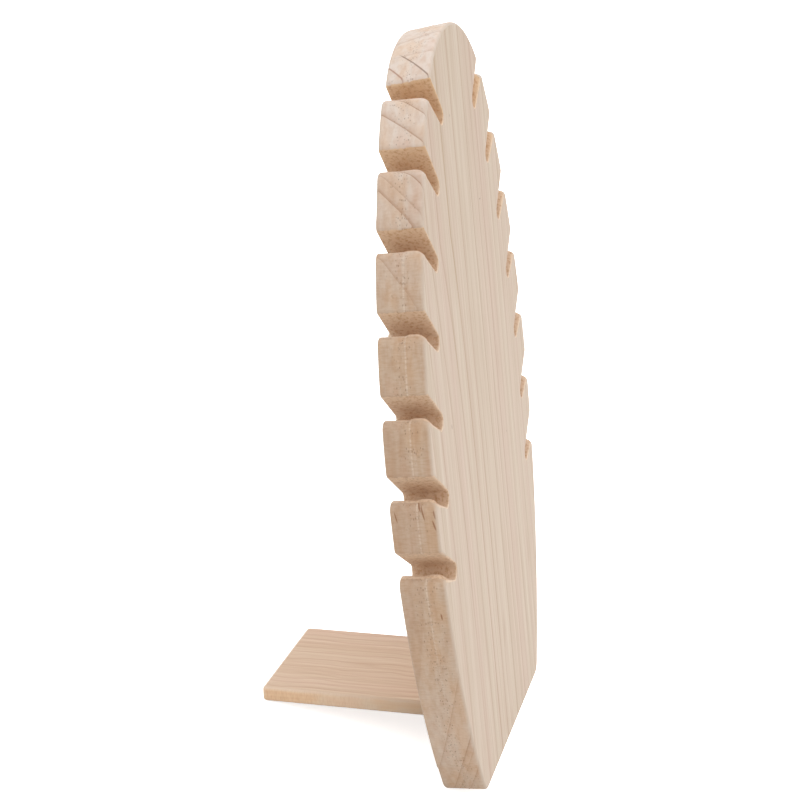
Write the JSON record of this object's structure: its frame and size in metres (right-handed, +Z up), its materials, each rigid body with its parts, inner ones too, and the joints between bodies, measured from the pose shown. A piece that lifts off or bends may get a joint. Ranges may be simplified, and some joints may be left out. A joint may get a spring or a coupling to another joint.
{
  "type": "slotted display stand",
  "caption": "Leaning wooden board with slanted notches along both sides, carried by an upright and a foot plate, for laying necklaces across its front on a counter.",
  "frame": {"origin": "on the table, below the middle of the stand's width and depth", "axes": "+X to the right seen from the front, +Y backward through the board towards the foot's rear edge, +Z up"},
  "size_m": [0.186, 0.1074, 0.2966],
  "materials": {
    "pine_board": "sanded, unfinished",
    "pine_batten": "sanded, unfinished",
    "pine_plate": "sanded, unfinished",
    "zinc_screw": "zinc plated"
  },
  "bodies": {
    "root": {"display_board": "pine_board", "back_upright": "pine_batten", "foot_plate": "pine_plate", "upright_screws": "zinc_screw", "foot_screws": "zinc_screw"}
  },
  "joints": []
}
